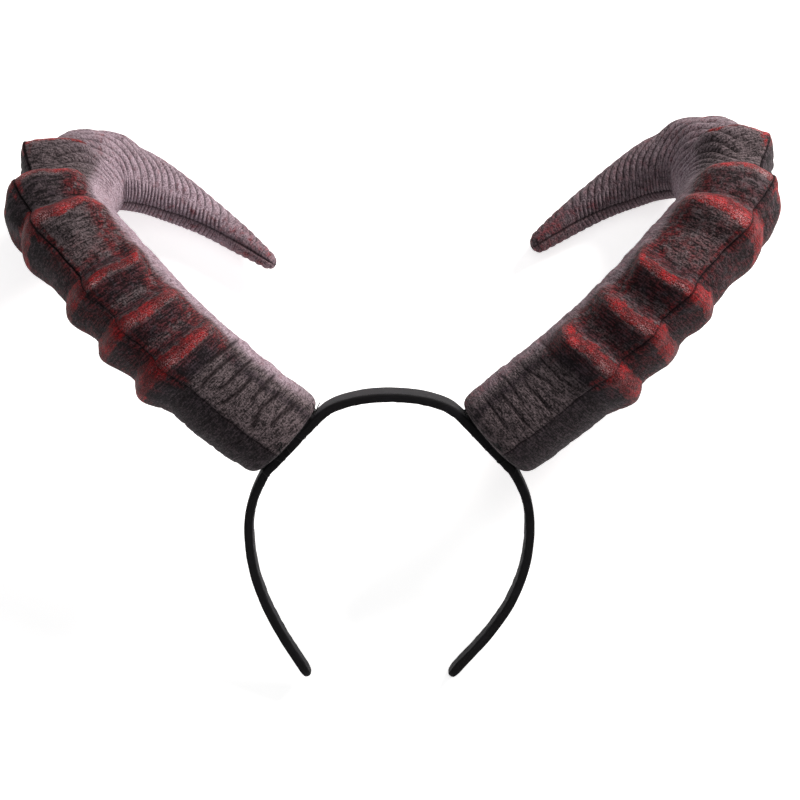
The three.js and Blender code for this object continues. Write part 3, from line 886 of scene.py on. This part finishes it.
def thread(name, paths, radius):
    """Sewing thread along one or more paths in worn millimetres, as one mesh of fine tubes."""
    curve = bpy.data.curves.new(name, "CURVE")
    curve.dimensions = "3D"
    curve.bevel_depth = radius * MM
    curve.bevel_resolution = 2
    curve.use_fill_caps = True
    for path in paths:
        spline = curve.splines.new("POLY")
        places = laid_down(path)
        spline.points.add(len(places) - 1)
        for point, place in zip(spline.points, places):
            point.co = (*place, 1.0)
    strand = bpy.data.objects.new(name, curve)
    bpy.context.scene.collection.objects.link(strand)
    mesh = bpy.data.meshes.new_from_object(strand.evaluated_get(bpy.context.evaluated_depsgraph_get()))
    bpy.data.objects.remove(strand)
    bpy.data.curves.remove(curve)
    mesh.name = name
    for polygon in mesh.polygons:
        polygon.use_smooth = True
    mesh.materials.clear()
    return piece(name, mesh, sewing_material, "pad_felt")


def foot_thread(horn, side, label):
    """The thread that lashes a horn's foot to the band: turns round the band, a knot at the
    outer seam and a few loose ends."""
    outward, crownward, middle, foot = seat_of(side)
    back = np.array([0.0, 1.0, 0.0])
    rng = np.random.default_rng(11 if side < 0 else 12)
    paths = []
    turns = 5
    steps = 28
    for turn in range(turns):
        place = -15.5 + 31.0 * turn / (turns - 1) + rng.uniform(-1.2, 1.2)
        lean = rng.uniform(-2.0, 2.0)
        loop = []
        for k in range(steps + 1):
            angle = 2 * math.pi * k / steps
            c, s = math.cos(angle), math.sin(angle)
            x = 6.9 * np.sign(c) * abs(c) ** 0.35
            y = (BAND_WALL / 2 + 0.15) * np.sign(s) * abs(s) ** 0.5
            loop.append(middle + outward * y + back * x + crownward * (place + lean * s + 0.4 * c))
        paths.append(np.array(loop))
    wraps = thread(f"{label}_foot_thread", paths, 0.15)
    # knot where the outer seam meets the pad
    knot_at = foot + outward * 0.8 - back * 22.6 + crownward * 0.5
    knot = []
    for k in range(90):
        t = k / 89 * 2 * math.pi * 5
        r = 1.3 + 0.5 * math.sin(1.7 * t)
        knot.append(
            knot_at
            + outward * r * math.cos(t) * 0.9
            + crownward * r * math.sin(t) * 1.3
            + back * 0.9 * math.sin(0.6 * t + 1)
        )
    tails = []
    for k in range(5):
        start = knot_at + crownward * rng.uniform(-1.5, 1.5)
        way = unit(-back * 0.6 + crownward * rng.uniform(-1, 1) + outward * rng.uniform(-0.6, 0.9))
        bend = unit(rng.normal(size=3))
        tails.append(np.array([start + way * d + bend * 0.08 * d * d for d in np.linspace(0, rng.uniform(2.0, 3.6), 7)]))
    thread(f"{label}_seam_knot", [np.array(knot)] + tails, 0.26)
    # a tuft where the lashing ends at the crown side of the foot
    tuft = []
    for k in range(10 if side < 0 else 4):
        start = middle + crownward * (19.5 + rng.uniform(-1.2, 1.0)) + outward * (2.4 + rng.uniform(-0.4, 0.8)) - back * rng.uniform(3.0, 7.0)
        way = unit(outward * rng.uniform(0.4, 1.2) + crownward * rng.uniform(-0.2, 1.0) - back * rng.uniform(-0.2, 0.6))
        bend = unit(rng.normal(size=3))
        tuft.append(np.array([start + way * d + bend * 0.07 * d * d for d in np.linspace(0, rng.uniform(2.2, 4.6), 7)]))
    thread(f"{label}_thread_ends", tuft, 0.22)
    return wraps


# ---- the scene

skin_material = horn_skin_material()
ribbon_material = band_material()
pad_material = felt_material()
sewing_material = thread_material()

for label, side in (("left", -1), ("right", 1)):
    horn = Horn(side, **HORN_SETS[label])
    seed = 200 + 100 * side
    horn_half(horn, 1, seed, f"{label}_horn_upper_skin", f"{label}_horn_upper_shell")
    horn_half(horn, -1, seed + 50, f"{label}_horn_lower_skin", f"{label}_horn_lower_shell")
    foot_pad(horn, side, label)
    foot_thread(horn, side, label)
hair_band()

# Floor, light and camera
bm = bmesh.new()
bmesh.ops.create_grid(bm, x_segments=1, y_segments=1, size=4.0)
floor_mesh = bpy.data.meshes.new("paper_floor")
bm.to_mesh(floor_mesh)
bm.free()
floor_mesh.materials.append(floor_material())
floor = bpy.data.objects.new("paper_floor", floor_mesh)
bpy.context.scene.collection.objects.link(floor)


def soft_light(name, place, size, power, tint):
    light = bpy.data.lights.new(name, "AREA")
    light.shape = "DISK"
    light.size = size
    light.energy = power
    light.color = colour(tint)[:3]
    lamp = bpy.data.objects.new(name, light)
    lamp.location = place
    lamp.rotation_euler = (-Vector(place)).to_track_quat("-Z", "Y").to_euler()
    bpy.context.scene.collection.objects.link(lamp)
    return lamp


soft_light("key_light", (0.95, 0.95, 0.75), 0.6, 33.0, "#fffaf6")
soft_light("top_light", (0.1, -0.1, 1.7), 1.6, 7.0, "#ffffff")

world = bpy.data.worlds.new("studio")
world.use_nodes = True
world.node_tree.nodes["Background"].inputs[0].default_value = (1, 1, 1, 1)
world.node_tree.nodes["Background"].inputs[1].default_value = 0.15
bpy.context.scene.world = world
bpy.context.scene.view_settings.view_transform = "Standard"

lift = math.radians(CAMERA_LIFT)
look = np.array([0.0, math.cos(lift), -math.sin(lift)])
upward = np.array([0.0, math.sin(lift), math.cos(lift)])
target = np.array([VIEW_MIDDLE[0], 0.0, 0.0]) + upward * VIEW_MIDDLE[1]
axes = Matrix((laid_vector((1, 0, 0)), laid_vector(upward), laid_vector(-look))).transposed()
camera_data = bpy.data.cameras.new("camera")
camera_data.sensor_width = SENSOR
camera_data.lens = SENSOR * CAMERA_REACH / PIXEL / FRAME_PIXELS
camera_data.clip_end = 10.0
camera = bpy.data.objects.new("camera", camera_data)
camera.matrix_world = Matrix.Translation(Vector(laid_down(target - look * CAMERA_REACH))) @ axes.to_4x4()
bpy.context.scene.collection.objects.link(camera)
bpy.context.scene.camera = camera
